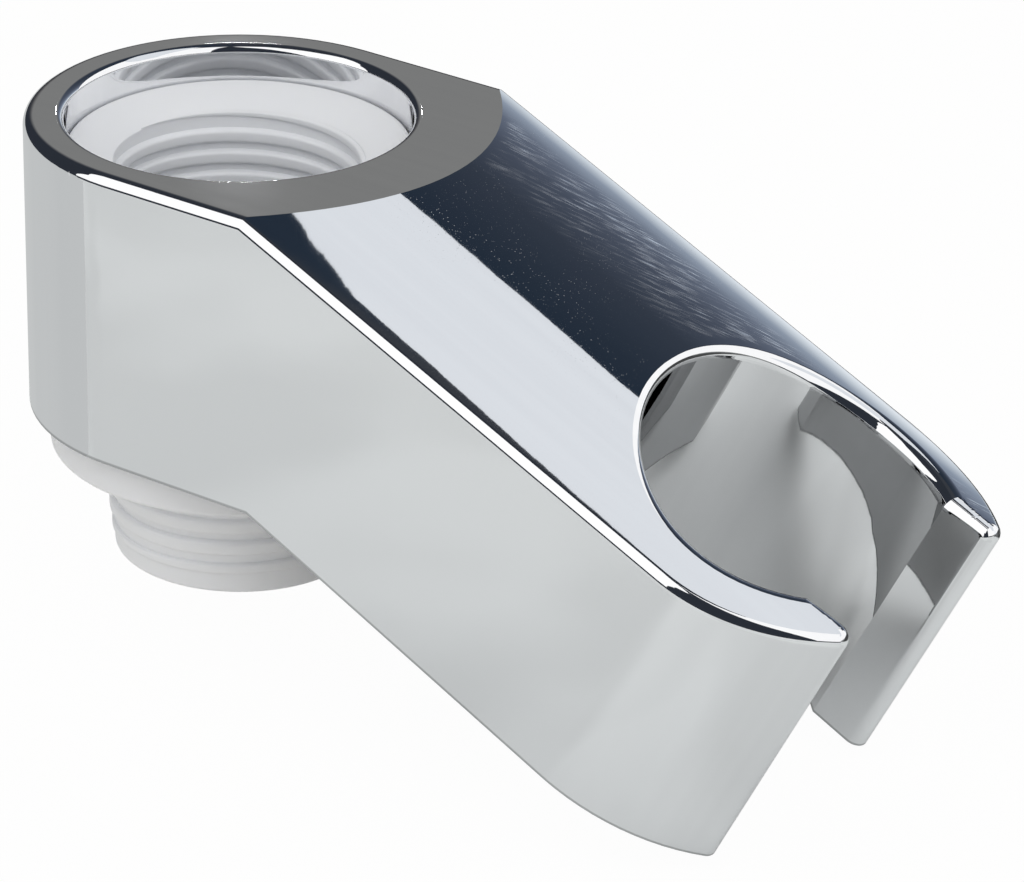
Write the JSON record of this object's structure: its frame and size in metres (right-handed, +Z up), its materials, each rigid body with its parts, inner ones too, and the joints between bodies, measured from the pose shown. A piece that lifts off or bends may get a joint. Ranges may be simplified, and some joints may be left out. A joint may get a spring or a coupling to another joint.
{
  "type": "hand shower holder",
  "caption": "Swivelling hand shower holder: a plated ring with a sloping forked arm turns on a threaded insert between shower arm and hose.",
  "frame": {"origin": "on the threads' axis, where the full wall of the inlet thread begins", "axes": "+Z up along the threads' axis out of the inlet, +X along the arm, and the two sides across Y are alike"},
  "size_m": [0.0796, 0.0332, 0.0424],
  "materials": {
    "chrome_plate": "bright chrome plate on moulded plastic",
    "white_plastic": "satin moulded",
    "washer_rubber": "matte"
  },
  "bodies": {
    "insert": {"threaded_insert": "white_plastic", "sealing_washer": "washer_rubber"},
    "holder": {"holder_body": "chrome_plate"}
  },
  "joints": [
    {"name": "holder_swivel", "type": "hinge", "parent": "insert", "child": "holder", "pos_m": [0, 0, 0], "axis": [0, 0, 1], "continuous": true}
  ]
}
